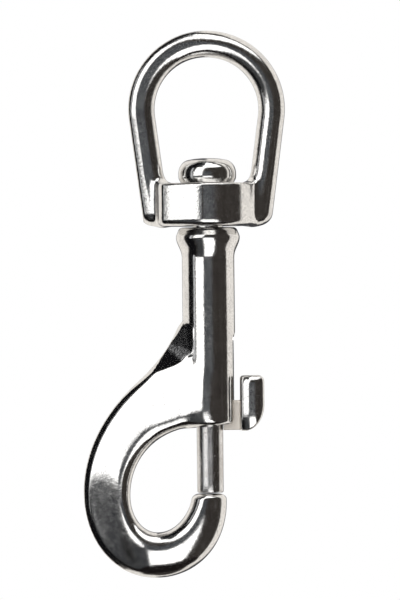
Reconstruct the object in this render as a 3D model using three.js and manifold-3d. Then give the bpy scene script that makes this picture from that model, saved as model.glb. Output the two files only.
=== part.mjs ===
// Swivel-eye bolt snap, 90 mm long, in cast and machined stainless steel.
//
// Millimetres. +Z runs up the swivel axis and +X points to the thumb piece. The
// origin is the inside of the eye's crown, where the line bears, so the snap
// hangs below it.

import * as THREE from 'three';
import { mergeVertices } from 'three/addons/utils/BufferGeometryUtils.js';
import { LoftGeometry } from 'three/addons/geometries/LoftGeometry.js';
import Module from 'manifold-3d';

const wasm = await Module();
wasm.setup();

// ---------------------------------------------------------------- dimensions

const ROUND = 36;            // facets of a turned surface
const SMALL_ROUND = 20;      // facets of a small pin or hole
const BAR_FACETS = 18;       // facets of the eye's bar
const RINGS_PER_COIL = 14;   // rings along one coil of the spring

// Swivel eye: a round bar bent to an arch, with a drum cast between its legs
const BAR_R = 2.18;
const ARCH_R = 10.7;         // centreline of the arch
const ARCH_Z = BAR_R - ARCH_R;
const LEG_SLANT = THREE.MathUtils.degToRad(7.5);
const LEG_END_Z = -27.6;
const DRUM_R = 7.9;
const DRUM_TOP_Z = -20.73;
const DRUM_BOTTOM_Z = -27.75;
const DRUM_TOP_EDGE = 0.4;
const DRUM_BOTTOM_EDGE = 0.8;
const EYE_HOLE_R = 2.75;

// Swivel stud: a button head above the drum, and a shank pressed into the body
const HEAD_R = 4.75;
const HEAD_TOP_Z = -16.58;
const HEAD_CORNER = 1.8;
const HEAD_DOME = 0.18;
const HEAD_FOOT_EDGE = 0.35;
const SWIVEL_PLAY = 0.1;     // between the head and the drum
const SHANK_R = 2.5;
const SHANK_END_Z = -33.5;

// Snap body: collar, barrel and hook in one casting
const COLLAR_TOP_Z = -27.97;
const COLLAR_TOP_R = 4.55;
const COLLAR_R = 5.26;
const COLLAR_WIDEST_Z = -29.9;
const COLLAR_END_Z = -32.3;
const BARREL_R = 4.3;
const BARREL_END_Z = -60.4;
const BARREL_EDGE = 0.8;
const STUD_BORE_R = 2.56;
const BORE_R = 2.42;
const SLOT_WIDTH = 2.7;
const SLOT_TOP_Z = -45.3;
const HOOK_ROOT_X = -0.6;     // where the hook starts, inside the barrel
const HOOK_ROOT_TOP_Z = -40.6;
const HOOK_HALF_AT_BARREL = [2.9, 3.9];  // half thickness near the outer and the inner edge
const HOOK_HALF_AT_BACK = [1.4, 2.5];
const NOSE_HALF = [3, 3];
const NOSE_FLAT_Z = -71.75;

// Bolt, thumb piece and spring
const BOLT_R = 2.2;
const BOLT_TIP_R = 2.165;
const BOLT_TOP_Z = -50;
const BOLT_TIP_Z = -71.6;
const BOLT_CHAMFER = 0.45;
const THUMB_INNER_X = 5.02;
const THUMB_OUTER_X = 9;
const THUMB_HALF = 2.75;
const THUMB_TOP_Z = -52.39;
const THUMB_BOTTOM_Z = -61.47;
const THUMB_CORNER = 0.8;
const THUMB_CHIN_X = 3.7;    // rounding of the lower outer corner
const THUMB_CHIN_Z = 4.3;
const WEB_HALF = 1.1;
const WEB_GAP = 0.1;         // between the web and the bolt
const WEB_OVERLAP = 1;       // of the web into the thumb piece
const WEB_TOP_Z = -56.45;
const WEB_BOTTOM_Z = -61.3;
const SPIGOT_R = 1.1;
const SPIGOT_HOLE_R = 1.16;
const SPIGOT_Z = -58.9;
const SPIGOT_END_X = -2;
const SPRING_R = 1.8;        // centreline of the coils
const WIRE_R = 0.3;
const COILS = 8.5;
const SPRING_GAP = 0.1;      // left at each end of the spring

// ---------------------------------------------------------------- solids

function toSolid(geometry) {
  const bare = new THREE.BufferGeometry().copy(geometry);
  bare.deleteAttribute('normal');
  bare.deleteAttribute('uv');
  const merged = mergeVertices(bare, 1e-4);
  const corners = merged.index.array;
  const kept = [];
  for (let i = 0; i < corners.length; i += 3) {
    const [a, b, c] = [corners[i], corners[i + 1], corners[i + 2]];
    if (a !== b && b !== c && c !== a) kept.push(a, b, c);
  }
  return new wasm.Manifold(new wasm.Mesh({
    numProp: 3,
    vertProperties: new Float32Array(merged.attributes.position.array),
    triVerts: new Uint32Array(kept),
  }));
}

function toMesh(name, solid, finish) {
  const { vertProperties, triVerts } = solid.getMesh();
  const geometry = new THREE.BufferGeometry();
  geometry.setAttribute('position', new THREE.BufferAttribute(vertProperties, 3));
  geometry.setIndex(new THREE.BufferAttribute(triVerts, 1));
  geometry.computeVertexNormals();
  const mesh = new THREE.Mesh(geometry, new THREE.MeshStandardMaterial(finish));
  mesh.name = name;
  return mesh;
}

// A profile of [radius, z] points, turned about the Z axis.
function turned(profile) {
  const points = profile.map(([radius, z]) => new THREE.Vector2(radius, z));
  const geometry = new THREE.LatheGeometry(points, ROUND);
  geometry.rotateX(Math.PI / 2);
  return toSolid(geometry);
}

function pinAlongX(radius, fromX, toX, z) {
  const geometry = new THREE.CylinderGeometry(radius, radius, toX - fromX, SMALL_ROUND);
  geometry.rotateZ(Math.PI / 2);
  geometry.translate((fromX + toX) / 2, 0, z);
  return toSolid(geometry);
}

// Points of a quarter ellipse that turns from one side of a corner to the other.
// The start is level with the corner in z, and the end level with it in radius.
function corner(cornerR, cornerZ, reachR, reachZ, steps = 5) {
  const points = [];
  for (let i = 0; i <= steps; i++) {
    const turn = (i / steps) * Math.PI / 2;
    points.push([
      cornerR - reachR * (1 - Math.sin(turn)),
      cornerZ - reachZ * (1 - Math.cos(turn)),
    ]);
  }
  return points;
}

// ---------------------------------------------------------------- swivel eye

// Half of the bar's centreline, from the crown down the +X leg to its end.
class LegCurve extends THREE.Curve {
  getPoint(t) {
    const sin = Math.sin(LEG_SLANT);
    const cos = Math.cos(LEG_SLANT);
    const arc = ARCH_R * (Math.PI / 2 + LEG_SLANT);
    const bend = new THREE.Vector3(ARCH_R * cos, 0, ARCH_Z - ARCH_R * sin);
    const leg = (bend.z - LEG_END_Z) / cos;
    const along = t * (arc + leg);
    if (along <= arc) {
      const angle = along / ARCH_R;
      return new THREE.Vector3(ARCH_R * Math.sin(angle), 0, ARCH_Z + ARCH_R * Math.cos(angle));
    }
    const past = along - arc;
    return bend.add(new THREE.Vector3(-past * sin, 0, -past * cos));
  }
}

function barRing(curve, t, radius) {
  const centre = curve.getPoint(t);
  const ahead = curve.getTangent(t);
  const side = new THREE.Vector3(ahead.z, 0, -ahead.x);
  const ring = [];
  for (let i = 0; i < BAR_FACETS; i++) {
    const angle = (i / BAR_FACETS) * Math.PI * 2;
    const point = centre.clone().addScaledVector(side, radius * Math.cos(angle));
    point.y += radius * Math.sin(angle);
    ring.push(point);
  }
  return ring;
}

// The whole bar, from the end of the -X leg over the crown to the end of the +X leg.
function archBar() {
  const curve = new LegCurve();
  const steps = 26;
  const domeSteps = 4;
  const length = curve.getLength();
  const right = [];
  for (let i = 0; i <= steps; i++) right.push([(i / steps) * (1 - BAR_R / length), BAR_R]);
  for (let i = 1; i <= domeSteps; i++) {
    const turn = (i / (domeSteps + 0.4)) * Math.PI / 2;
    right.push([1 - (1 - Math.sin(turn)) * BAR_R / length, BAR_R * Math.cos(turn)]);
  }
  const rightRings = right.map(([t, radius]) => barRing(curve, t, radius));
  const mirror = (ring) => ring.map((p) => new THREE.Vector3(-p.x, p.y, p.z));
  const leftRings = rightRings.slice(1).map(mirror).reverse();
  return toSolid(new LoftGeometry([...leftRings, ...rightRings], { capStart: true, capEnd: true }));
}

function swivelEye() {
  const drum = turned([
    [0, DRUM_BOTTOM_Z],
    [DRUM_R - DRUM_BOTTOM_EDGE, DRUM_BOTTOM_Z],
    [DRUM_R - DRUM_BOTTOM_EDGE * 0.3, DRUM_BOTTOM_Z + DRUM_BOTTOM_EDGE * 0.3],
    [DRUM_R, DRUM_BOTTOM_Z + DRUM_BOTTOM_EDGE],
    [DRUM_R, DRUM_TOP_Z - DRUM_TOP_EDGE],
    [DRUM_R - DRUM_TOP_EDGE, DRUM_TOP_Z],
    [0, DRUM_TOP_Z],
  ]);
  const hole = turned([
    [0, DRUM_BOTTOM_Z - 1],
    [EYE_HOLE_R, DRUM_BOTTOM_Z - 1],
    [EYE_HOLE_R, DRUM_TOP_Z + 1],
    [0, DRUM_TOP_Z + 1],
  ]);
  return archBar().add(drum).subtract(hole);
}

// ---------------------------------------------------------------- swivel stud

function swivelStud() {
  const footZ = DRUM_TOP_Z + SWIVEL_PLAY;
  const shoulder = corner(HEAD_R, HEAD_TOP_Z - HEAD_DOME, HEAD_CORNER, HEAD_CORNER);
  return turned([
    [0, SHANK_END_Z],
    [SHANK_R - 0.3, SHANK_END_Z],
    [SHANK_R, SHANK_END_Z + 0.3],
    [SHANK_R, footZ],
    [HEAD_R - HEAD_FOOT_EDGE, footZ],
    [HEAD_R, footZ + HEAD_FOOT_EDGE],
    ...shoulder.reverse(),
    [(HEAD_R - HEAD_CORNER) / 2, HEAD_TOP_Z - HEAD_DOME / 4],
    [0, HEAD_TOP_Z],
  ]);
}

// ---------------------------------------------------------------- snap body

function barrel() {
  const neck = new THREE.CubicBezierCurve(
    new THREE.Vector2(BARREL_R, COLLAR_END_Z),
    new THREE.Vector2(BARREL_R, COLLAR_END_Z + 1.1),
    new THREE.Vector2(COLLAR_R, COLLAR_WIDEST_Z - 1.1),
    new THREE.Vector2(COLLAR_R, COLLAR_WIDEST_Z),
  );
  return turned([
    [0, BARREL_END_Z],
    [BARREL_R - BARREL_EDGE, BARREL_END_Z],
    [BARREL_R - BARREL_EDGE * 0.3, BARREL_END_Z + BARREL_EDGE * 0.3],
    [BARREL_R, BARREL_END_Z + BARREL_EDGE],
    ...neck.getPoints(6).map((point) => [point.x, point.y]),
    [COLLAR_R - 0.1, COLLAR_TOP_Z - 0.75],
    [(COLLAR_R + COLLAR_TOP_R) / 2 + 0.1, COLLAR_TOP_Z - 0.2],
    [COLLAR_TOP_R, COLLAR_TOP_Z],
    [0, COLLAR_TOP_Z],
  ]);
}

function outline(...corners) {
  const points = corners.map(([x, z]) => new THREE.Vector2(x, z));
  return new THREE.CubicBezierCurve(...points);
}

function joined(...curves) {
  const path = new THREE.CurvePath();
  curves.forEach((curve) => path.add(curve));
  return path;
}

// The hook in three spans, from the barrel to the nose. Each pairs a stretch of
// the outer edge with the stretch of the inner edge that faces it. half gives the
// half thickness, and the edge radii round the outer and the inner edge, each at
// the start and the end of its span.
const HOOK_SPANS = [
  {
    outer: joined(
      outline([-4.36, -40.5], [-4.36, -45.5], [-8.6, -50.5], [-11.9, -53.4]),
      outline([-11.9, -53.4], [-16.6, -57.6], [-20.85, -63.8], [-20.85, -71.5]),
    ),
    inner: outline([-2.2, -60.6], [-9, -61.2], [-13.2, -66], [-13.2, -72]),
    half: [HOOK_HALF_AT_BARREL, HOOK_HALF_AT_BACK],
    outerEdge: [2.2, 1.3],
    innerEdge: [2.6, 2.9],
    steps: 20,
  },
  {
    outer: outline([-20.85, -71.5], [-20.85, -79.3], [-16, -85.5], [-9, -85.5]),
    inner: outline([-13.2, -72], [-13.2, -75.4], [-11.3, -78.1], [-8.75, -78.1]),
    half: [HOOK_HALF_AT_BACK, NOSE_HALF],
    outerEdge: [1.3, 2.9],
    innerEdge: [2.9, 2.9],
    steps: 12,
  },
  {
    outer: outline([-9, -85.5], [-2.5, -85.5], [2.65, -80.5], [2.65, -73]),
    inner: outline([-8.75, -78.1], [-5.6, -78.1], [-3.6, -75], [-3.15, -72.8]),
    half: [NOSE_HALF, NOSE_HALF],
    outerEdge: [2.9, 3],
    innerEdge: [2.9, 3],
    steps: 12,
  },
];

// How full the thickness is at a distance from a rounded edge, from 0 to 1.
function fullness(distance, edge) {
  const short = Math.max(0, (edge - distance) / edge);
  return Math.sqrt(Math.max(0, 1 - short * short));
}

// One closed ring across the hook, from its outer edge to its inner edge and back.
// A slant below 1 says that the ring meets that edge at an angle.
function hookRing({ outer, inner, half, outerEdge, innerEdge, outerSlant = 1, innerSlant = 1 }) {
  const { lerp } = THREE.MathUtils;
  const width = outer.distanceTo(inner);
  const side = [];
  const points = 11;
  for (let i = 0; i < points; i++) {
    const across = (1 - Math.cos((i / (points - 1)) * Math.PI)) / 2;
    const place = outer.clone().lerp(inner, across);
    const fromOuter = across * width * outerSlant;
    const fromInner = (1 - across) * width * innerSlant;
    const full = fullness(fromOuter, Math.min(outerEdge, width / 2))
      * fullness(fromInner, Math.min(innerEdge, width / 2));
    side.push(new THREE.Vector3(place.x, lerp(...half, across) * full, place.y));
  }
  const back = side.slice(1, -1).reverse();
  return [...side, ...back.map((p) => new THREE.Vector3(p.x, -p.y, p.z))];
}

function slantTo(tangent, outer, inner) {
  const line = inner.clone().sub(outer).normalize();
  return Math.abs(tangent.x * line.y - tangent.y * line.x);
}

function hook() {
  const { lerp } = THREE.MathUtils;
  const rings = [hookRing({
    outer: new THREE.Vector2(HOOK_ROOT_X, HOOK_ROOT_TOP_Z),
    inner: new THREE.Vector2(HOOK_ROOT_X, BARREL_END_Z + 0.05),
    half: HOOK_HALF_AT_BARREL,
    outerEdge: 1,
    innerEdge: 1,
  })];
  HOOK_SPANS.forEach((span, index) => {
    for (let i = index === 0 ? 0 : 1; i <= span.steps; i++) {
      const u = i / span.steps;
      const outer = span.outer.getPointAt(u);
      const inner = span.inner.getPointAt(u);
      rings.push(hookRing({
        outer,
        inner,
        half: [0, 1].map((edge) => lerp(span.half[0][edge], span.half[1][edge], u)),
        outerEdge: lerp(...span.outerEdge, u),
        innerEdge: lerp(...span.innerEdge, u),
        outerSlant: slantTo(span.outer.getTangentAt(u), outer, inner),
        innerSlant: slantTo(span.inner.getTangentAt(u), outer, inner),
      }));
    }
  });
  return toSolid(new LoftGeometry([...rings, ...noseRings()], { capStart: true, capEnd: true }));
}

// The nose's rim, rounded up to the flat that the bolt closes on.
function noseRings() {
  const nose = HOOK_SPANS[HOOK_SPANS.length - 1];
  const outer = nose.outer.getPointAt(1);
  const inner = nose.inner.getPointAt(1);
  const rimReach = 0.8;
  const rings = [];
  for (let i = 1; i <= 4; i++) {
    const turn = (i / 4) * Math.PI / 2;
    const inset = rimReach * (1 - Math.cos(turn));
    const rise = Math.sin(turn);
    rings.push(hookRing({
      outer: new THREE.Vector2(outer.x - inset, outer.y + (NOSE_FLAT_Z - outer.y) * rise),
      inner: new THREE.Vector2(inner.x + inset, inner.y + (NOSE_FLAT_Z - inner.y) * rise),
      half: NOSE_HALF.map((half) => half - inset),
      outerEdge: 3,
      innerEdge: 3,
    }));
  }
  return rings;
}

// The slot that the thumb piece runs in, cut through the +X wall of the barrel
// and open at its lower end.
function slot() {
  const half = SLOT_WIDTH / 2;
  const shape = new THREE.Shape();
  shape.moveTo(-half, BARREL_END_Z - 1);
  shape.lineTo(half, BARREL_END_Z - 1);
  shape.lineTo(half, SLOT_TOP_Z - half);
  shape.absarc(0, SLOT_TOP_Z - half, half, 0, Math.PI, false);
  shape.closePath();
  const geometry = new THREE.ExtrudeGeometry(shape, {
    depth: BARREL_R + 2,
    bevelEnabled: false,
    curveSegments: 8,
  });
  geometry.rotateX(Math.PI / 2);
  geometry.rotateZ(Math.PI / 2);
  return toSolid(geometry);
}

function bore(radius, bottomZ, topZ) {
  return turned([[0, bottomZ], [radius, bottomZ], [radius, topZ], [0, topZ]]);
}

function snapBody() {
  return barrel()
    .add(hook())
    .subtract(bore(BORE_R, BARREL_END_Z - 1, COLLAR_TOP_Z + 1))
    .subtract(bore(STUD_BORE_R, SHANK_END_Z - 0.1, COLLAR_TOP_Z + 1))
    .subtract(slot());
}

// ---------------------------------------------------------------- bolt group

function boltPin() {
  const pin = turned([
    [0, BOLT_TIP_Z],
    [BOLT_TIP_R - BOLT_CHAMFER, BOLT_TIP_Z],
    [BOLT_TIP_R, BOLT_TIP_Z + BOLT_CHAMFER],
    [BOLT_R, BOLT_TOP_Z - BOLT_CHAMFER],
    [BOLT_R - BOLT_CHAMFER, BOLT_TOP_Z],
    [0, BOLT_TOP_Z],
  ]);
  return pin.subtract(pinAlongX(SPIGOT_HOLE_R, -BOLT_R - 1, BOLT_R + 1, SPIGOT_Z));
}

// A D-shaped ring across the thumb, flat towards the barrel.
function thumbRing(z, depth, half) {
  const ring = [];
  const steps = 12;
  for (let i = 0; i <= steps; i++) {
    const angle = (i / steps) * Math.PI - Math.PI / 2;
    const reach = Math.pow(Math.cos(angle), 0.6) * depth;
    ring.push(new THREE.Vector3(THUMB_INNER_X + Math.max(0, reach), half * Math.sin(angle), z));
  }
  return ring;
}

function thumbPiece() {
  const depth = THUMB_OUTER_X - THUMB_INNER_X;
  const rings = [];
  for (let i = 0; i <= 6; i++) {
    const turn = (i / 6) * Math.PI / 2;
    const chinX = THUMB_CHIN_X * (1 - Math.sin(turn));
    const z = THUMB_BOTTOM_Z + THUMB_CHIN_Z * (1 - Math.cos(turn));
    const half = THUMB_HALF - 0.5 * (1 - Math.sin(turn));
    rings.push(thumbRing(z, depth - chinX, half));
  }
  for (let i = 0; i <= 4; i++) {
    const turn = (i / 4) * Math.PI / 2;
    const inset = THUMB_CORNER * (1 - Math.cos(turn));
    const z = THUMB_TOP_Z - THUMB_CORNER * (1 - Math.sin(turn));
    rings.push(thumbRing(z, depth - inset, THUMB_HALF - inset));
  }
  const thumb = toSolid(new LoftGeometry(rings, { capStart: true, capEnd: true }));
  const webFromX = BOLT_R + WEB_GAP;
  const webToX = THUMB_INNER_X + WEB_OVERLAP;
  const web = new THREE.BoxGeometry(webToX - webFromX, 2 * WEB_HALF, WEB_TOP_Z - WEB_BOTTOM_Z);
  web.translate((webToX + webFromX) / 2, 0, (WEB_TOP_Z + WEB_BOTTOM_Z) / 2);
  return thumb
    .add(toSolid(web))
    .add(pinAlongX(SPIGOT_R, SPIGOT_END_X, BOLT_R + 1, SPIGOT_Z));
}

class Helix extends THREE.Curve {
  constructor(bottomZ, topZ) {
    super();
    this.bottomZ = bottomZ;
    this.topZ = topZ;
  }

  getPoint(t) {
    const angle = t * COILS * Math.PI * 2;
    const z = THREE.MathUtils.lerp(this.bottomZ, this.topZ, t);
    return new THREE.Vector3(SPRING_R * Math.cos(angle), SPRING_R * Math.sin(angle), z);
  }
}

function boltSpring() {
  const path = new Helix(BOLT_TOP_Z + SPRING_GAP + WIRE_R, SHANK_END_Z - SPRING_GAP - WIRE_R);
  const wire = new THREE.Shape();
  wire.absarc(0, 0, WIRE_R, 0, Math.PI * 2, false);
  return toSolid(new THREE.ExtrudeGeometry(wire, {
    steps: Math.round(COILS * RINGS_PER_COIL),
    curveSegments: 4,
    extrudePath: path,
  }));
}

// ---------------------------------------------------------------- assembly

const POLISHED = { color: 0xc9c6c1, roughness: 0.12, metalness: 1 };
const MACHINED = { color: 0x9b958f, roughness: 0.35, metalness: 1 };
const SPRING_STEEL = { color: 0x8d8a86, roughness: 0.3, metalness: 1 };

const snap = new THREE.Group();
snap.add(toMesh('swivel_eye', swivelEye(), POLISHED));
snap.add(toMesh('swivel_stud', swivelStud(), POLISHED));
snap.add(toMesh('snap_body', snapBody(), POLISHED));
snap.add(toMesh('bolt_pin', boltPin(), MACHINED));
snap.add(toMesh('thumb_piece', thumbPiece(), POLISHED));
snap.add(toMesh('bolt_spring', boltSpring(), SPRING_STEEL));

export default snap;
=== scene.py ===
"""Looks of a swivel-eye bolt snap in polished stainless steel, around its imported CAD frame.

Lengths are in millimetres until a mesh is made, and the frame's own metres after that.
"""

import math

import bpy
import numpy as np
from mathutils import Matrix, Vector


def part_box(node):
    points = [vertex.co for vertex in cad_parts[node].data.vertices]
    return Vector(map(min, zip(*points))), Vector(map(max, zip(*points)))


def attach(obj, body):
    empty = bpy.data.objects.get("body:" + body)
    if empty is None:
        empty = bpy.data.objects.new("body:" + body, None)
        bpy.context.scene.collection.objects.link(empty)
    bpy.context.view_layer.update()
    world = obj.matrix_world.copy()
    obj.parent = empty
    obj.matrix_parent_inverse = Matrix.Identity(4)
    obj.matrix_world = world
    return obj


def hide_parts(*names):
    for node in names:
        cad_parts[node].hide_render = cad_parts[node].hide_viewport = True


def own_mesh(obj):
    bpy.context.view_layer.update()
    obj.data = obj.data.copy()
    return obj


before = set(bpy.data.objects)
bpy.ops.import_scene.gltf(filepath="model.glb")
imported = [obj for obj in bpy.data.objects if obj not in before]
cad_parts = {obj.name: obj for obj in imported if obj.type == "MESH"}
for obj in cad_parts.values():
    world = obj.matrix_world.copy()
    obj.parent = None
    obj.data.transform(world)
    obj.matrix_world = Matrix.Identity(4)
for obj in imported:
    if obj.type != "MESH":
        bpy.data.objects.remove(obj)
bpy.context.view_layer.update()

MM = 0.001

# ------------------------------------------------------------------ dimensions


def box_mm(node):
    low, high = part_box(node)
    return np.array(low) / MM, np.array(high) / MM


EYE_LOW, EYE_HIGH = box_mm("swivel_eye")
STUD_LOW, STUD_HIGH = box_mm("swivel_stud")
BODY_LOW, BODY_HIGH = box_mm("snap_body")
BOLT_LOW, BOLT_HIGH = box_mm("bolt_pin")
THUMB_LOW, THUMB_HIGH = box_mm("thumb_piece")
SPRING_LOW, SPRING_HIGH = box_mm("bolt_spring")

# Swivel eye
BAR_R = EYE_HIGH[2] / 2
ARCH_R = EYE_HIGH[0] - BAR_R
ARCH_Z = BAR_R - ARCH_R
LEG_SLANT = math.radians(7.5)
DRUM_R = EYE_HIGH[1]
DRUM_BOTTOM = EYE_LOW[2]
DRUM_TOP = DRUM_BOTTOM + 7.02
DRUM_TOP_EDGE = 0.45
DRUM_BOTTOM_EDGE = 1.0
EYE_FILLET = 2.8
EYE_HOLE_R = 2.75
EYE_HOLE_FLARE = 1.3
FLAT_DROP = 0.18        # the bar's left side is a little flattened: its radius is less by this,
FLAT_SHIFT = 0.24       # its centreline is further out,
FLAT_HALF = 0.38        # and its section is stretched each way
FLAT_EDGE = 0.12
CHEEK_R = 17            # the flatter curve that the drum's left side has
CHEEK_X = 1.4
CHEEK_Y = -9.1
CHEEK_END_X = -8.1

# Swivel stud
HEAD_R = STUD_HIGH[0]
HEAD_TOP = STUD_HIGH[2]
HEAD_FOOT = DRUM_TOP + 0.1
HEAD_FOOT_EDGE = 0.22
HEAD_CORNER = (2.0, 2.3)  # reach in and down of the head's rounded shoulder
HEAD_DOME = 0.25
SHANK_R = 2.5
SHANK_EDGE = 0.3
SHANK_END = STUD_LOW[2]

# Snap body
COLLAR_TOP = BODY_HIGH[2]
COLLAR_R = BODY_HIGH[0]
COLLAR_EDGE = 0.65
COLLAR_TAPER = 0.42
COLLAR_TAPER_HIGH = 1.9
NECK_TOP = COLLAR_TOP - 1.2
NECK_END = COLLAR_TOP - 5.2
BARREL_R = 4.3
BARREL_END = COLLAR_TOP - 32.43
BARREL_EDGE = 0.8
NECK_FILLET = 0.25
HOOK_FILLET = 1.9
HOOK_TOP = -41
PLATE_HALF = 4.25       # half thickness of the hook's flat side at x = -1.5, z = -60,
PLATE_SLOPE_X = 0.2     # and how it changes from there
PLATE_SLOPE_Z = 0.07
PLATE_LEAST = 0.8
BACK_Z = -68.2          # the plate bends along this height
BACK_BEND = 0.13
FLANK_HALF = 3.8        # half thickness of the neck's side face at x = -2.1
FLANK_SLOPE = 0.75
FACET_HALF = 3.38       # half thickness of the neck's lower face at x = -2.1, z = -49.4
FACET_SLOPE_X = 0.42
FACET_SLOPE_Z = 0.68
CHAMFER_SLOPE = 0.72
CHAMFER_WIDE = 0.95
OVAL_WIDE = 5.4
OVAL_HALF = 3.4
INNER_WIDE = 3.0
INNER_HALF = 2.4
BORE_R = 2.42
STUD_BORE_R = 2.56
SLOT_HALF = 1.35
SLOT_TOP = COLLAR_TOP - 17.33
LIP_X = BARREL_R - 1.1  # where the slot's lips start to flare
LIP_REACH = 2.0
FRONT_FLARE = 1.65
BACK_FLARE = 0.1
NOSE_FLAT = BOLT_LOW[2] - 0.15
NOSE_RIM = 0.9

# Bolt, thumb piece and spring
BOLT_R = BOLT_HIGH[0]
BOLT_TIP_R = 2.165
BOLT_TOP = BOLT_HIGH[2]
BOLT_TIP = BOLT_LOW[2]
BOLT_EDGE = 0.3
THUMB_INNER = 5.02
THUMB_OUTER = THUMB_HIGH[0]
THUMB_TOP = THUMB_HIGH[2]
THUMB_BOTTOM = THUMB_LOW[2]
THUMB_HALF = THUMB_HIGH[1]
CROWN_R = 3             # of the thumb piece's front and back, about x = CROWN_X
CROWN_X = 7
CHIN_Z = -59.7          # the front falls away below this height,
CHIN_SLOPE = 0.35
BROW_Z = -53.2          # and above this one
BROW_SLOPE = 0.6
WEB_HALF = 1.1
WEB_TOP = THUMB_TOP - 4.06
WEB_BOTTOM = THUMB_BOTTOM + 0.17
SPIGOT_R = 1.1
SPIGOT_HOLE_R = 1.16
SPIGOT_Z = (WEB_TOP + WEB_BOTTOM) / 2
WIRE_R = 0.3
SPRING_R = SPRING_HIGH[0] - WIRE_R
COILS = 8.5

PITCH = 0.2             # of the grids that the cast pieces' surfaces are found on
FINE_PITCH = 0.12

# Camera
CAMERA_DISTANCE = 900
VIEW_HEIGHT = 98.7      # what the picture's height covers at the object
VIEW_X = -1.4
VIEW_Z = -39.9
VIEW_ROLL = 0.6         # degrees
SENSOR = 36

# ------------------------------------------------------------------ small maths


def ease(start, end, value):
    """0 before start, 1 after end, and a smooth rise between them."""
    t = np.clip((value - start) / (end - start), 0, 1)
    return t * t * t * (t * (6 * t - 15) + 10)


def mix(a, b, share):
    return a + (b - a) * share


def soft_min(a, b, reach):
    """The lower of two fields, with a fillet where they come within reach of each other."""
    near = np.maximum(reach - np.abs(a - b), 0) / reach
    return np.minimum(a, b) - near**3 * reach / 6


def rounded_cut(a, b, radius):
    """Where both fields are negative, with a rounded edge where they meet."""
    p = a + radius
    q = b + radius
    outside = np.hypot(np.maximum(p, 0), np.maximum(q, 0))
    return outside + np.minimum(np.maximum(p, q), 0) - radius


def rounded_step(value, reach):
    """0 below nought and value above it, with a smooth bend between them."""
    return reach * np.logaddexp(0, value / reach)


class Outline:
    """A chain of cubic curves in the XZ plane, with the metal on its left-hand side."""

    def __init__(self, *spans):
        self.spans = [np.array(span, float) for span in spans]

    def depth(self, x, z):
        """How far a point lies inside the outline, negative outside it."""
        x, z = np.broadcast_arrays(x, z)
        nearest = np.full(x.shape, np.inf)
        depth = np.zeros(x.shape)
        for span in self.spans:
            apart, signed = self.to_span(span, x, z)
            closer = apart < nearest
            nearest = np.where(closer, apart, nearest)
            depth = np.where(closer, signed, depth)
        return depth

    @staticmethod
    def to_span(span, x, z):
        """Squared distance to one curve, and signed distance from it."""
        a, b, c, d = span
        cubic = (d - 3 * c + 3 * b - a, 3 * (c - 2 * b + a), 3 * (b - a), a)

        def at(t):
            return [((p * t + q) * t + r) * t + s for p, q, r, s in zip(*cubic)]

        def slope(t):
            return [(3 * p * t + 2 * q) * t + r for p, q, r, _ in zip(*cubic)]

        tries = np.linspace(0, 1, 25)
        tx, tz = at(tries)
        t = tries[np.argmin((x[..., None] - tx) ** 2 + (z[..., None] - tz) ** 2, axis=-1)]
        for _ in range(4):
            px, pz = at(t)
            sx, sz = slope(t)
            bx, bz = [6 * p * t + 2 * q for p, q, _, _ in zip(*cubic)]
            speed = sx * sx + sz * sz
            pull = (px - x) * sx + (pz - z) * sz
            bend = speed + (px - x) * bx + (pz - z) * bz
            t = np.clip(t - pull / np.maximum(bend, 0.25 * speed), 0, 1)
        px, pz = at(t)
        sx, sz = slope(t)
        length = np.hypot(sx, sz)
        signed = ((z - pz) * sx - (x - px) * sz) / length
        return (x - px) ** 2 + (z - pz) ** 2, signed


# ------------------------------------------------------------------ mesh making


def contour(field, low, high, pitch, rounds=4):
    """Points, quads and normals of the closed surface where field(x, y, z) is zero."""
    axes = [np.arange(lo - 3 * pitch, hi + 4 * pitch, pitch) for lo, hi in zip(low, high)]
    origin = np.array([axis[0] for axis in axes])
    grid = np.broadcast_to(
        field(*np.meshgrid(*axes, indexing="ij", sparse=True)), [len(axis) for axis in axes]
    )
    inside = grid < 0
    count = sum(
        inside[i : i - 1 or None, j : j - 1 or None, k : k - 1 or None].astype(np.int8)
        for i in (0, 1) for j in (0, 1) for k in (0, 1)
    )
    cells = np.argwhere((count > 0) & (count < 8))
    ids = np.full(count.shape, -1)
    ids[tuple(cells.T)] = np.arange(len(cells))
    points = origin + pitch * (cells + crossings(grid, cells))
    quads = np.concatenate([quads_along(inside, ids, axis) for axis in range(3)])
    for _ in range(rounds):
        points = onto(field, relaxed(points, quads), pitch)
    return points, quads, normals_of(field, points)


def crossings(grid, cells):
    """Where the surface cuts each cell's edges, averaged, in cell units."""
    total = np.zeros((len(cells), 3))
    hits = np.zeros((len(cells), 1))
    for axis in range(3):
        step = np.eye(3, dtype=int)[axis]
        others = [i for i in range(3) if i != axis]
        for corner in range(4):
            start = np.zeros(3, int)
            start[others] = corner & 1, corner >> 1
            a = grid[tuple((cells + start).T)]
            b = grid[tuple((cells + start + step).T)]
            cut = ((a < 0) != (b < 0))[:, None]
            share = (a / np.where(a == b, 1, a - b))[:, None]
            total += np.where(cut, start + share * step, 0)
            hits += cut
    return total / hits


def quads_along(inside, ids, axis):
    """The faces that cross the grid's lines along one axis, facing out."""
    u, v = (axis + 1) % 3, (axis + 2) % 3
    steps = np.diff(inside.astype(np.int8), axis=axis)
    at = np.argwhere(steps != 0)
    leaving = steps[tuple(at.T)] < 0
    around = []
    for du, dv in ((1, 1), (0, 1), (0, 0), (1, 0)):
        cell = at.copy()
        cell[:, u] -= du
        cell[:, v] -= dv
        around.append(ids[tuple(cell.T)])
    quads = np.stack(around, axis=1)
    quads[~leaving] = quads[~leaving][:, ::-1]
    return quads


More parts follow.
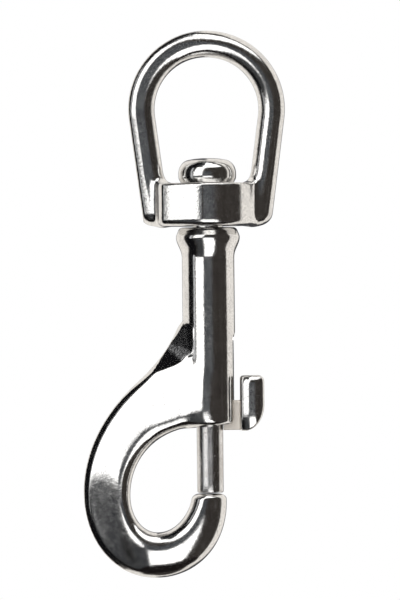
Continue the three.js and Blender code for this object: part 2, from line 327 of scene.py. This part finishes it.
def relaxed(points, quads):
    """Each point moved half-way to the mean of its faces' middles."""
    middles = points[quads].mean(axis=1)
    total = np.zeros_like(points)
    count = np.zeros(len(points))
    for i in range(4):
        np.add.at(total, quads[:, i], middles)
        np.add.at(count, quads[:, i], 1)
    return (points + total / count[:, None]) / 2


def slope_of(field, points, step=0.01):
    slope = np.empty_like(points)
    for axis in range(3):
        shift = np.zeros(3)
        shift[axis] = step
        slope[:, axis] = (field(*(points + shift).T) - field(*(points - shift).T)) / (2 * step)
    return slope


def onto(field, points, reach):
    """The points moved along the field's slope until they lie on its surface."""
    for _ in range(2):
        slope = slope_of(field, points)
        move = -field(*points.T)[:, None] * slope / np.maximum((slope**2).sum(1), 1e-6)[:, None]
        points = points + np.clip(move, -reach, reach)
    return points


def normals_of(field, points):
    slope = slope_of(field, points)
    return slope / np.maximum(np.linalg.norm(slope, axis=1), 1e-9)[:, None]


def new_object(name, points, faces):
    mesh = bpy.data.meshes.new(name)
    faces = [list(map(int, face)) for face in faces]
    mesh.from_pydata((np.asarray(points) * MM).tolist(), [], faces)
    mesh.update()
    piece = bpy.data.objects.new(name, mesh)
    bpy.context.scene.collection.objects.link(piece)
    return piece


def turned(name, profile, facets=128):
    """A profile of [radius, z] points, from the bottom of the axis to its top, turned about Z."""
    rim = [point for point in profile if point[0] > 1e-6]
    angles = np.arange(facets) * 2 * math.pi / facets
    points = [[r * math.cos(a), r * math.sin(a), z] for r, z in rim for a in angles]
    faces = []
    for row in range(len(rim) - 1):
        for i in range(facets):
            j = (i + 1) % facets
            a, b = row * facets, (row + 1) * facets
            faces.append([a + i, a + j, b + j, b + i])
    for row, z, flip in ((0, profile[0][1], True), (len(rim) - 1, profile[-1][1], False)):
        points.append([0, 0, z])
        centre = len(points) - 1
        for i in range(facets):
            edge = [row * facets + i, row * facets + (i + 1) % facets]
            faces.append([centre] + (edge[::-1] if flip else edge))
    return new_object(name, points, faces)


def arc(centre, reach, start, end, steps=8):
    """Points of an ellipse's arc in [radius, z], from one angle in degrees to another."""
    angles = np.radians(np.linspace(start, end, steps + 1))
    return [
        [centre[0] + reach[0] * math.cos(a), centre[1] + reach[1] * math.sin(a)] for a in angles
    ]


def along_x(piece):
    """Turns a piece made about Z so that its axis is X."""
    for vertex in piece.data.vertices:
        x, y, z = vertex.co
        vertex.co = (z, y, -x)
    return piece


def cut(piece, *cutters):
    for cutter in cutters:
        modifier = piece.modifiers.new("cut", "BOOLEAN")
        modifier.operation = "DIFFERENCE"
        modifier.solver = "MANIFOLD"
        modifier.object = cutter
    bpy.context.view_layer.update()
    evaluated = piece.evaluated_get(bpy.context.evaluated_depsgraph_get())
    mesh = bpy.data.meshes.new_from_object(evaluated)
    piece.modifiers.clear()
    piece.data = mesh
    for cutter in cutters:
        bpy.data.objects.remove(cutter)
    return piece


def shade(piece, field=None, crease=35):
    """Smooth shading with creases, and the field's own normals where cuts left its surface."""
    mesh = piece.data
    mesh.shade_smooth()
    mesh.set_sharp_from_angle(angle=math.radians(crease))
    if field is None:
        return
    points = np.empty(len(mesh.vertices) * 3)
    mesh.vertices.foreach_get("co", points)
    points = points.reshape(-1, 3) / MM
    normals = normals_of(field, points)
    off = np.abs(field(*points.T)) > 0.02
    corners = np.empty(len(mesh.loops), int)
    mesh.loops.foreach_get("vertex_index", corners)
    flat = np.empty(len(mesh.polygons) * 3)
    mesh.polygons.foreach_get("normal", flat)
    sizes = np.empty(len(mesh.polygons), int)
    mesh.polygons.foreach_get("loop_total", sizes)
    facing = np.repeat(flat.reshape(-1, 3), sizes, axis=0)
    own = normals[corners]
    unlike = (own * facing).sum(1) < math.cos(math.radians(30))
    own[unlike | off[corners]] = 0
    mesh.normals_split_custom_set(own.tolist())


# ------------------------------------------------------------------ swivel eye


def bar_field(x, y, z):
    """The round bar: an arch, and two legs that lean in towards the drum."""
    across = np.abs(x)
    bend_x = ARCH_R * math.cos(LEG_SLANT)
    bend_z = ARCH_Z - ARCH_R * math.sin(LEG_SLANT)
    turn = np.arctan2(across, z - ARCH_Z)
    on_arch = turn < math.pi / 2 + LEG_SLANT
    ahead = -(across - bend_x) * math.sin(LEG_SLANT) - (z - bend_z) * math.cos(LEG_SLANT)
    past = np.maximum(ahead - (bend_z - DRUM_BOTTOM - 0.1 - BAR_R) / math.cos(LEG_SLANT), 0)
    beside = (across - bend_x) * math.cos(LEG_SLANT) - (z - bend_z) * math.sin(LEG_SLANT)
    out = np.where(on_arch, np.hypot(across, z - ARCH_Z) - ARCH_R, beside)
    past = np.where(on_arch, 0, past)
    flat = ease(2, -6, x)
    beyond = np.maximum(np.abs(out - FLAT_SHIFT * flat) - FLAT_HALF * flat, 0)
    bar = np.sqrt(beyond**2 + past**2 + y**2) - (BAR_R - FLAT_DROP * flat)
    return rounded_cut(bar, out - BAR_R, FLAT_EDGE * np.minimum(4 * flat, 1))


def drum_field(x, y, z):
    """The round drum, filled out on the left by a flatter curve than its own."""
    bulge = np.hypot(x - CHEEK_X, np.abs(y) - CHEEK_Y) - CHEEK_R
    cheek = rounded_cut(bulge, CHEEK_END_X - x, 1.0)
    cheek = np.maximum(cheek, x + 1)
    side = soft_min(np.hypot(x, y) - DRUM_R, cheek, 0.6)
    lower = rounded_cut(side, DRUM_BOTTOM - z, DRUM_BOTTOM_EDGE)
    upper = rounded_cut(side, z - DRUM_TOP, DRUM_TOP_EDGE)
    return np.where(z < (DRUM_BOTTOM + DRUM_TOP) / 2, lower, upper)


def eye_field(x, y, z):
    return soft_min(bar_field(x, y, z), drum_field(x, y, z), EYE_FILLET)


def make_eye():
    points, quads, _ = contour(eye_field, EYE_LOW, EYE_HIGH, PITCH)
    eye = new_object("eye_casting", points, quads)
    hole = turned("hole", [
        [0, DRUM_BOTTOM - 1],
        [EYE_HOLE_R + EYE_HOLE_FLARE, DRUM_BOTTOM - 1],
        [EYE_HOLE_R, DRUM_BOTTOM + 0.3],
        [EYE_HOLE_R, DRUM_TOP - 0.3],
        [EYE_HOLE_R + EYE_HOLE_FLARE, DRUM_TOP + 1],
        [0, DRUM_TOP + 1],
    ])
    cut(eye, hole)
    shade(eye, eye_field)
    return eye


# ------------------------------------------------------------------ swivel stud


def make_stud():
    """A button head, domed and rounded, on a plain shank."""
    edge = HEAD_FOOT_EDGE
    waist = HEAD_TOP - HEAD_DOME - HEAD_CORNER[1]
    profile = [
        [0, SHANK_END],
        [SHANK_R - SHANK_EDGE, SHANK_END],
        [SHANK_R, SHANK_END + SHANK_EDGE],
        [SHANK_R, HEAD_FOOT],
    ]
    profile += arc((HEAD_R - 0.3 - edge, HEAD_FOOT + edge), (edge, edge), -90, -10, 5)
    profile += arc((HEAD_R - edge, waist - 0.3), (edge, 0.8), -50, 0, 4)
    profile += arc((HEAD_R - HEAD_CORNER[0], waist), HEAD_CORNER, 3, 78, 16)
    radii = np.linspace(2.2, 0.4, 5)
    profile += [[r, HEAD_TOP - 0.8 * HEAD_DOME * (r / (HEAD_R - HEAD_CORNER[0])) ** 2] for r in radii]
    stud = turned("stud", profile + [[0, HEAD_TOP]])
    shade(stud)
    return stud


# ------------------------------------------------------------------ snap body

HOOK_OUTER = Outline(
    [(-4.36, -40.5), (-4.36, -45.5), (-8.6, -50.5), (-11.9, -53.4)],
    [(-11.9, -53.4), (-16.6, -57.6), (-20.85, -63.8), (-20.85, -71.5)],
    [(-20.85, -71.5), (-20.85, -79.3), (-16, -85.5), (-9, -85.5)],
    [(-9, -85.5), (-2.5, -85.5), (2.65, -80.5), (2.65, -73)],
)
HOOK_INNER = Outline(
    [(-3.15, -72.8), (-3.6, -75), (-5.6, -78.1), (-8.75, -78.1)],
    [(-8.75, -78.1), (-11.3, -78.1), (-13.2, -75.4), (-13.2, -72)],
    [(-13.2, -72), (-13.2, -66), (-9, -61.2), (-2.2, -60.6)],
)


def hook_half(x, z, in_from_edge):
    """Half the thickness on the hook's flat side: a plate that thins from the barrel to the back
    of the bowl, bevelled along its outer edge, and cut away at the neck by two faces."""
    from_barrel = x + 2.1
    plate = PLATE_HALF + PLATE_SLOPE_X * (x + 1.5) - PLATE_SLOPE_Z * (z + 60)
    plate = plate - BACK_BEND * rounded_step(BACK_Z - z, 1.2)
    plate = -soft_min(-plate, -PLATE_LEAST, 0.3)
    plate = plate - CHAMFER_SLOPE * rounded_step(CHAMFER_WIDE - in_from_edge, 0.1)
    plate = plate + 0.8 * rounded_step(z + 49.1, 0.1) * ease(-2.3, -3.1, x)
    flank = np.maximum(FLANK_HALF + FLANK_SLOPE * from_barrel, 0.5 + FLANK_SLOPE * in_from_edge)
    facet = FACET_HALF + FACET_SLOPE_X * from_barrel - FACET_SLOPE_Z * (z + 49.4)
    neck = np.minimum(-soft_min(-flank, -facet, 0.5), 0.6 + 2.6 * in_from_edge)
    return soft_min(soft_min(plate, neck, 0.25), PLATE_HALF, 0.5)


def hook_field(x, y, z):
    """The hook's back and top are bevelled towards a crisp outer edge, its bottom and nose
    are oval, and its inner edge is round all the way."""
    outer = HOOK_OUTER.depth(x, z)
    inner = HOOK_INNER.depth(x, z)
    side = np.abs(y)
    in_from_edge = np.maximum(outer, 0)
    fade = 0.35 * np.maximum(x + 1.2, 0) ** 2 * ease(-66, -62, z)
    half = hook_half(x, z, in_from_edge) - fade
    bevel = CHAMFER_SLOPE * ease(CHAMFER_WIDE + 0.4, CHAMFER_WIDE - 0.4, in_from_edge)
    bevelled = rounded_cut((side - half) / np.sqrt(1 + (0.22 + bevel) ** 2), -outer, 0.12)
    short_outer = np.maximum(OVAL_WIDE - outer, 0) / OVAL_WIDE
    oval = (np.hypot(short_outer, side / OVAL_HALF) - 1) * OVAL_HALF
    outside = mix(bevelled, oval, ease(-17.5, -8, x) * ease(-64, -72, z))
    wall = (0.4 + 0.6 * ease(-68, -76, z)) * ease(-17, -8, x)
    wall = wall + 1.2 * ease(-12, -3, x) * ease(-67, -60, z)
    short_inner = np.maximum(INNER_WIDE - inner, 0) / INNER_WIDE
    inside = (np.hypot(short_inner, np.maximum(side - wall, 0) / INNER_HALF) - 1) * INNER_HALF
    field = -soft_min(-outside, -inside, 0.7)
    at_nose = (x > -8) & (z < -63.5)
    field = np.where(at_nose, rounded_cut(field, z - NOSE_FLAT, NOSE_RIM), field)
    field = np.where(z > -63.5, np.maximum(field, x - 1.5), field)
    return np.maximum(field + 1.5 * ease(-45, HOOK_TOP, z), z - HOOK_TOP)


def barrel_field(x, y, z):
    radius = BARREL_R + (COLLAR_R - BARREL_R) * ease(NECK_END, NECK_TOP, z)
    radius = radius - COLLAR_TAPER * ease(COLLAR_TOP - COLLAR_TAPER_HIGH, COLLAR_TOP, z)
    side = np.hypot(x, y) - radius
    lower = rounded_cut(side, BARREL_END - z, BARREL_EDGE)
    upper = rounded_cut(side, z - COLLAR_TOP, COLLAR_EDGE)
    return np.where(z < -40, lower, upper)


def body_field(x, y, z):
    fillet = mix(NECK_FILLET, HOOK_FILLET, ease(-48, -54, z))
    return soft_min(barrel_field(x, y, z), hook_field(x, y, z), fillet)


def slot_cutter():
    """A slot with a round upper end, cut from the bore out, its front lip broadly chamfered."""
    rings = (
        (0, SLOT_HALF, SLOT_HALF),
        (LIP_X, SLOT_HALF, SLOT_HALF),
        (LIP_X + LIP_REACH, SLOT_HALF + FRONT_FLARE, SLOT_HALF + BACK_FLARE),
    )
    middle = SLOT_TOP - SLOT_HALF
    points, faces = [], []
    steps = 24
    for x, front, back in rings:
        points.append([x, -front, BARREL_END - 3])
        points.append([x, back, BARREL_END - 3])
        for i in range(steps + 1):
            angle = math.pi * i / steps
            side = back if i < steps / 2 else front
            points.append([x, side * math.cos(angle), middle + back * math.sin(angle)])
    size = steps + 3
    for row in range(len(rings) - 1):
        for i in range(size):
            j = (i + 1) % size
            a, b = row * size, (row + 1) * size
            faces.append([a + i, a + j, b + j, b + i])
    faces.append(list(range(size))[::-1])
    faces.append([2 * size + i for i in range(size)])
    return new_object("slot", points, faces)


def make_body():
    points, quads, _ = contour(body_field, BODY_LOW, BODY_HIGH, PITCH)
    body = new_object("body_casting", points, quads)
    bore = turned("bore", [
        [0, BARREL_END - 3],
        [BORE_R, BARREL_END - 3],
        [BORE_R, SHANK_END - 0.1],
        [STUD_BORE_R, SHANK_END - 0.1],
        [STUD_BORE_R, COLLAR_TOP - 0.3],
        [STUD_BORE_R + 1.3, COLLAR_TOP + 1],
        [0, COLLAR_TOP + 1],
    ])
    cut(body, bore, slot_cutter())
    shade(body, body_field)
    return body


# ------------------------------------------------------------------ bolt group


def make_bolt():
    profile = [[0, BOLT_TIP]]
    profile += arc((BOLT_TIP_R - 0.35, BOLT_TIP + BOLT_EDGE), (0.35, BOLT_EDGE), -90, 0, 6)
    for share in np.linspace(0.05, 1, 20):
        height = mix(BOLT_TIP + BOLT_EDGE, BOLT_TOP - BOLT_EDGE, share)
        profile.append([mix(BOLT_TIP_R, BOLT_R, share), height])
    profile += [[BOLT_R - BOLT_EDGE, BOLT_TOP], [0, BOLT_TOP]]
    bolt = turned("bolt", profile, 96)
    through = BOLT_R + 1.8
    hole = [[0, -through], [SPIGOT_HOLE_R, -through], [SPIGOT_HOLE_R, through], [0, through]]
    hole = along_x(turned("hole", hole, 48))
    for vertex in hole.data.vertices:
        vertex.co.z += SPIGOT_Z * MM
    cut(bolt, hole)
    shade(bolt)
    return bolt


THUMB_OUTLINE = Outline(
    [(THUMB_INNER, -52.95), (THUMB_INNER, -55.5), (THUMB_INNER, -58), (THUMB_INNER, -60.9)],
    [(THUMB_INNER, -60.9), (THUMB_INNER, -61.25), (5.2, THUMB_BOTTOM), (5.55, THUMB_BOTTOM)],
    [(5.55, THUMB_BOTTOM), (7.4, THUMB_BOTTOM), (THUMB_OUTER, -59.6), (THUMB_OUTER, -57)],
    [(THUMB_OUTER, -57), (THUMB_OUTER, -56), (THUMB_OUTER, -54.5), (THUMB_OUTER, -53.4)],
    [(THUMB_OUTER, -53.4), (THUMB_OUTER, -52.8), (8.6, THUMB_TOP), (8.0, THUMB_TOP)],
    [(8.0, THUMB_TOP), (7.2, THUMB_TOP), (6.4, THUMB_TOP), (5.6, THUMB_TOP)],
    [(5.6, THUMB_TOP), (5.25, THUMB_TOP), (THUMB_INNER, -52.6), (THUMB_INNER, -52.95)],
)


def thumb_field(x, y, z):
    """The crowned knob, the web that carries it, and the spigot pressed into the bolt."""
    edge = THUMB_OUTLINE.depth(x, z)
    crown = np.sqrt(np.maximum(CROWN_R**2 - (x - CROWN_X) ** 2, 0.5)) - CROWN_R + THUMB_HALF
    crown = crown - CHIN_SLOPE * rounded_step(CHIN_Z - z, 0.3)
    crown = crown - BROW_SLOPE * rounded_step(z - BROW_Z, 0.2)
    knob = rounded_cut((np.abs(y) - crown) / 1.2, -edge, 0.3)
    web_high = np.abs(z - SPIGOT_Z) - (WEB_TOP - WEB_BOTTOM) / 2
    web = rounded_cut(np.abs(y) - WEB_HALF, web_high, 0.22)
    web = np.maximum(web, np.abs(x - 4.1) - 1.85)
    spigot = rounded_cut(np.hypot(y, z - SPIGOT_Z) - SPIGOT_R, np.abs(x - 0.4) - 2.4, 0.2)
    return soft_min(soft_min(knob, web, 0.3), spigot, 0.2)


def make_thumb():
    points, quads, _ = contour(thumb_field, THUMB_LOW, THUMB_HIGH, FINE_PITCH)
    thumb = new_object("thumb_lever", points, quads)
    shade(thumb, thumb_field)
    return thumb


def make_spring():
    """A helix of round wire."""
    low, high = SPRING_LOW[2] + WIRE_R, SPRING_HIGH[2] - WIRE_R
    steps, sides = 48, 14
    count = round(COILS * steps)
    rise = (high - low) / (COILS * 2 * math.pi * SPRING_R)
    points, faces = [], []
    for i in range(count + 1):
        angle = 2 * math.pi * i / steps
        out = np.array([math.cos(angle), math.sin(angle), 0])
        ahead = np.array([-math.sin(angle), math.cos(angle), rise])
        ahead /= np.linalg.norm(ahead)
        up = np.cross(out, ahead)
        centre = SPRING_R * out + [0, 0, mix(low, high, i / count)]
        for k in range(sides):
            turn = 2 * math.pi * k / sides
            points.append(centre + WIRE_R * (math.cos(turn) * out + math.sin(turn) * up))
    for i in range(count):
        for k in range(sides):
            a, b = i * sides + k, i * sides + (k + 1) % sides
            faces.append([a, b, b + sides, a + sides][::-1])
    faces.append(list(range(sides)))
    faces.append([count * sides + k for k in range(sides)][::-1])
    spring = new_object("spring", points, faces)
    shade(spring)
    return spring


# ------------------------------------------------------------------ materials


class Nodes:
    """Short calls for building a node tree."""

    def __init__(self, tree):
        self.tree = tree
        tree.nodes.clear()

    def add(self, kind, inputs=None, **settings):
        node = self.tree.nodes.new(kind)
        for key, value in settings.items():
            setattr(node, key, value)
        for key, value in (inputs or {}).items():
            if isinstance(value, bpy.types.NodeSocket):
                self.tree.links.new(value, node.inputs[key])
            else:
                node.inputs[key].default_value = value
        return node

    def math(self, operation, *values):
        return self.add("ShaderNodeMath", dict(enumerate(values)), operation=operation).outputs[0]

    def ramp(self, value, low, high, start=0.0, end=1.0, smooth=True):
        node = self.add("ShaderNodeMapRange", {
            "Value": value, "From Min": low, "From Max": high, "To Min": start, "To Max": end})
        node.interpolation_type = "SMOOTHERSTEP" if smooth else "LINEAR"
        return node.outputs["Result"]

    def noise(self, place, size, detail=2.0, roughness=0.5, stretch=None):
        """Noise with features of about the given size, in millimetres."""
        if stretch is not None:
            place = self.add("ShaderNodeMapping", {"Vector": place, "Scale": stretch}).outputs[0]
        node = self.add("ShaderNodeTexNoise", {
            "Vector": place, "Scale": 1 / (size * MM), "Detail": detail, "Roughness": roughness})
        return node.outputs["Fac"]

    def blend(self, share, a, b):
        node = self.add("ShaderNodeMix", data_type="RGBA")
        for socket, value in ((node.inputs[0], share), (node.inputs[6], a), (node.inputs[7], b)):
            if isinstance(value, bpy.types.NodeSocket):
                self.tree.links.new(value, socket)
            else:
                socket.default_value = value
        return node.outputs[2]

    def bump(self, height, depth, normal=None):
        """A bump of the given depth in millimetres."""
        inputs = {"Height": height, "Distance": depth * MM, "Strength": 1.0}
        if normal is not None:
            inputs["Normal"] = normal
        return self.add("ShaderNodeBump", inputs).outputs[0]


DARK_SPECK = (0.2, 0.18, 0.17, 1)
DARK_GRAIN = (0.25, 0.24, 0.23, 1)
CAST_TINT = (0.86, 0.80, 0.73, 1)


def steel(name, bright, dull, rough, grain, waves, pits=0.0, turned_lines=0.0, as_cast=None):
    """Stainless steel: two tints mixed by a slow stain, fine dark grain and specks, a range of
    roughness, and bumps whose depths are in microns. Where as_cast(nodes, place) says so it
    is left as cast, dull and coarse."""
    material = bpy.data.materials.new(name)
    material.use_nodes = True
    n = Nodes(material.node_tree)
    place = n.add("ShaderNodeTexCoord").outputs["Object"]
    stain = n.ramp(n.noise(place, 3.1, 3, 0.6), 0.35, 0.72)
    speck = n.ramp(n.noise(place, 0.27, 1, 0.5), 0.66, 0.78)
    dark_grain = n.ramp(n.noise(place, 0.24, 2, 0.7), 0.4, 0.66, 0.0, 0.32)
    tint = n.blend(stain, (*bright, 1), (*dull, 1))
    tint = n.blend(n.math("MULTIPLY", speck, pits), tint, DARK_SPECK)
    tint = n.blend(dark_grain, tint, DARK_GRAIN)
    roughness = n.ramp(n.noise(place, 0.9, 3, 0.65), 0.3, 0.7, *rough, smooth=False)
    roughness = n.math("ADD", roughness, n.math("MULTIPLY", speck, pits * 0.3))
    normal = n.bump(n.noise(place, 1.6, 2, 0.5), waves * MM)
    normal = n.bump(n.noise(place, 0.42, 2, 0.55), grain * MM, normal)
    normal = n.bump(n.noise(place, 0.16, 2, 0.6), 0.4 * grain * MM, normal)
    normal = n.bump(speck, 8 * pits * MM, normal)
    if turned_lines:
        lines = n.noise(place, 0.1, 2, 0.6, stretch=(0.09, 0.09, 3.0))
        normal = n.bump(lines, turned_lines * MM, normal)
        roughness = n.math("ADD", roughness, n.math("MULTIPLY", lines, 0.1))
    if as_cast is not None:
        share = as_cast(n, place)
        tint = n.blend(share, tint, CAST_TINT)
        roughness = n.math("ADD", roughness, n.math("MULTIPLY", share, 0.42))
    shader = n.add("ShaderNodeBsdfPrincipled", {
        "Base Color": tint, "Metallic": 1.0, "Roughness": roughness, "Normal": normal})
    n.add("ShaderNodeOutputMaterial", {"Surface": shader.outputs[0]})
    return material


def on_web(n, place):
    """The flat web between the bolt and the thumb piece, which polishing doesn't reach."""
    x, y, _ = n.add("ShaderNodeSeparateXYZ", {0: place}).outputs
    thin = n.ramp(n.math("ABSOLUTE", y), (WEB_HALF + 0.1) * MM, (WEB_HALF + 0.4) * MM, 1.0, 0.0)
    return n.math("MULTIPLY", thin, n.ramp(x, THUMB_INNER * MM, (THUMB_INNER + 0.3) * MM, 1.0, 0.0))


def dress(piece, material):
    piece.data.materials.clear()
    piece.data.materials.append(material)


# ------------------------------------------------------------------ studio


def zone(n, azimuth, elevation, left, right, low, high, soft, lean):
    """How far a direction lies inside a patch of the studio's walls. A patch that leans moves
    to the right by so many degrees for each degree of height."""
    if lean:
        azimuth = n.math("SUBTRACT", azimuth, n.math("MULTIPLY", elevation, lean))
    inside = 1.0
    for value, least, greatest in ((azimuth, left, right), (elevation, low, high)):
        for edge, shares in ((least, (0.0, 1.0)), (greatest, (1.0, 0.0))):
            if edge is not None:
                near, far = math.radians(edge - soft / 2), math.radians(edge + soft / 2)
                inside = n.math("MULTIPLY", inside, n.ramp(value, near, far, *shares))
    return inside


PALE = (1.0, 0.965, 0.92)
WHITE = (2.0, 2.0, 2.0)
# Patches of the studio's walls, each painted over those before it: the colour, the least and
# greatest azimuth and elevation in degrees, the softness of the edges, and the lean. Azimuth
# is 0 towards the camera and positive to its right.
DARK_WALLS = (
    ((0.036, 0.031, 0.028), None, None, None, None, 1, 0),
    ((0.068, 0.074, 0.083), -30, 16, -16, 16, 16, 0),
    ((0.045, 0.048, 0.053), -60, -14, -80, -4, 10, 0),
    ((0.012, 0.011, 0.010), -180, -50, -80, -4, 16, 0),
    ((0.022, 0.024, 0.027), -180, -20, 48, 90, 14, 0),
)
BRIGHT_WALLS = (
    ((0.006, 0.006, 0.007), -104, -58, None, None, 6, 0),
    ((0.75, 0.76, 0.78), -69, -62, -12, 34, 3, 0),
    (WHITE, -57, -21.5, -3, 42, 4, 0.28),
    (WHITE, -10, 8, 38, 60, 4, -0.25),
    (WHITE, 26, 100, 42, 100, 5, -0.6),
    (WHITE, -17, 20, -51, -8, 9, 0),
    (WHITE, -12, 14, -50, -8, 6, -0.4),
    (PALE, 88, None, -64, 72, 6, 0),
    (PALE, None, -98, -72, 62, 6, 0),
    ((0.012, 0.010, 0.010), -100, 100, None, -51, 5, 0),
    ((0.06, 0.06, 0.065), 150, None, -50, 14, 10, 0.3),
    ((0.10, 0.10, 0.11), None, -162, -14, 50, 10, -0.3),
)


CLUTTER = (0.4, 0.39, 0.37, 1)


def painted(n, azimuth, elevation, colour, walls):
    for tint, *patch in walls:
        colour = n.blend(zone(n, azimuth, elevation, *patch), colour, (*tint, 1))
    return colour


def make_studio():
    """A studio seen only in the metal: dark walls with some clutter, and white panels."""
    world = bpy.data.worlds.new("studio")
    bpy.context.scene.world = world
    world.use_nodes = True
    world.cycles.sampling_method = "NONE"
    n = Nodes(world.node_tree)
    way = n.add("ShaderNodeTexCoord").outputs["Generated"]
    x, y, z = n.add("ShaderNodeSeparateXYZ", {0: way}).outputs
    azimuth = n.math("ARCTAN2", x, n.math("MULTIPLY", y, -1.0))
    elevation = n.math("ARCSINE", z)
    colour = painted(n, azimuth, elevation, (0, 0, 0, 1), DARK_WALLS)
    squeezed = n.math("MULTIPLY", azimuth, 3.0)
    across = n.add("ShaderNodeCombineXYZ", {"X": squeezed, "Y": elevation}).outputs[0]
    clutter = n.add("ShaderNodeTexNoise", {
        "Vector": across, "Scale": 7.0, "Detail": 3.0, "Roughness": 0.7}).outputs["Fac"]
    colour = n.blend(n.ramp(clutter, 0.5, 0.68, 0.0, 0.3), colour, CLUTTER)
    colour = painted(n, azimuth, elevation, colour, BRIGHT_WALLS)
    path = n.add("ShaderNodeLightPath").outputs
    plain = n.math("MAXIMUM", path["Is Camera Ray"], path["Is Diffuse Ray"])
    shown = n.blend(plain, colour, (1.0, 1.0, 1.0, 1))
    back = n.add("ShaderNodeBackground", {"Color": shown})
    n.add("ShaderNodeOutputWorld", {"Surface": back.outputs[0]})


def make_floor():
    """A pale disc below the object, which the metal doesn't reflect."""
    top, thick, radius = BODY_LOW[2] - 40, 2, 420
    floor = turned("floor", [[0, top - thick], [radius, top - thick], [radius, top], [0, top]])
    floor.visible_glossy = False
    material = bpy.data.materials.new("pale_floor")
    material.use_nodes = True
    shader = material.node_tree.nodes["Principled BSDF"]
    shader.inputs["Base Color"].default_value = (0.95, 0.95, 0.95, 1)
    shader.inputs["Roughness"].default_value = 0.9
    floor.data.materials.append(material)


def make_camera():
    """Level with the object's middle, in front of it, and turned a little about its own axis."""
    data = bpy.data.cameras.new("camera")
    camera = bpy.data.objects.new("camera", data)
    bpy.context.scene.collection.objects.link(camera)
    bpy.context.scene.camera = camera
    data.sensor_fit = "VERTICAL"
    data.sensor_height = SENSOR
    data.lens = SENSOR * CAMERA_DISTANCE / VIEW_HEIGHT
    data.clip_end = 10
    camera.location = (VIEW_X * MM, -CAMERA_DISTANCE * MM, VIEW_Z * MM)
    camera.rotation_euler = (math.radians(90), math.radians(VIEW_ROLL), 0)


# ------------------------------------------------------------------ the object

make_camera()
make_studio()
make_floor()

BRIGHT_STEEL = ((0.82, 0.81, 0.79), (0.72, 0.71, 0.70))
TURNED_STEEL = ((0.74, 0.73, 0.72), (0.6, 0.58, 0.56))
SPRING_STEEL = ((0.7, 0.69, 0.68), (0.6, 0.58, 0.56))

cast = steel("cast_stainless", *BRIGHT_STEEL, (0.1, 0.17), grain=16.0, waves=8.0, pits=0.2)
polished = steel("polished_stainless", *BRIGHT_STEEL, (0.09, 0.16), grain=8.0, waves=8.0, pits=0.1)
lever = steel(
    "lever_stainless", *BRIGHT_STEEL, (0.1, 0.17), grain=6.5, waves=8.0, pits=0.3, as_cast=on_web)
machined = steel(
    "machined_stainless", *TURNED_STEEL, (0.1, 0.17), grain=5.0, waves=3.0, pits=0.5, turned_lines=6.0)
wire = steel("spring_wire", *SPRING_STEEL, (0.16, 0.24), grain=1.5, waves=1.0)

eye = make_eye()
dress(eye, cast)
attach(eye, "eye")
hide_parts("swivel_eye")

stud = make_stud()
dress(stud, polished)
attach(stud, "snap")
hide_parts("swivel_stud")

body = make_body()
dress(body, polished)
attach(body, "snap")
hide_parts("snap_body")

bolt = make_bolt()
dress(bolt, machined)
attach(bolt, "bolt")
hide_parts("bolt_pin")

thumb = make_thumb()
dress(thumb, lever)
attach(thumb, "bolt")
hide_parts("thumb_piece")

# The spring's top stays against the stud. In the snap the rising bolt squeezes it by its whole travel;
# here it rides with the snap body unchanged, with a mesh of its own.
spring = make_spring()
dress(spring, wire)
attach(spring, "snap")
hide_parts("bolt_spring")
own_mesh(spring)

bpy.context.scene.view_settings.view_transform = "Standard"
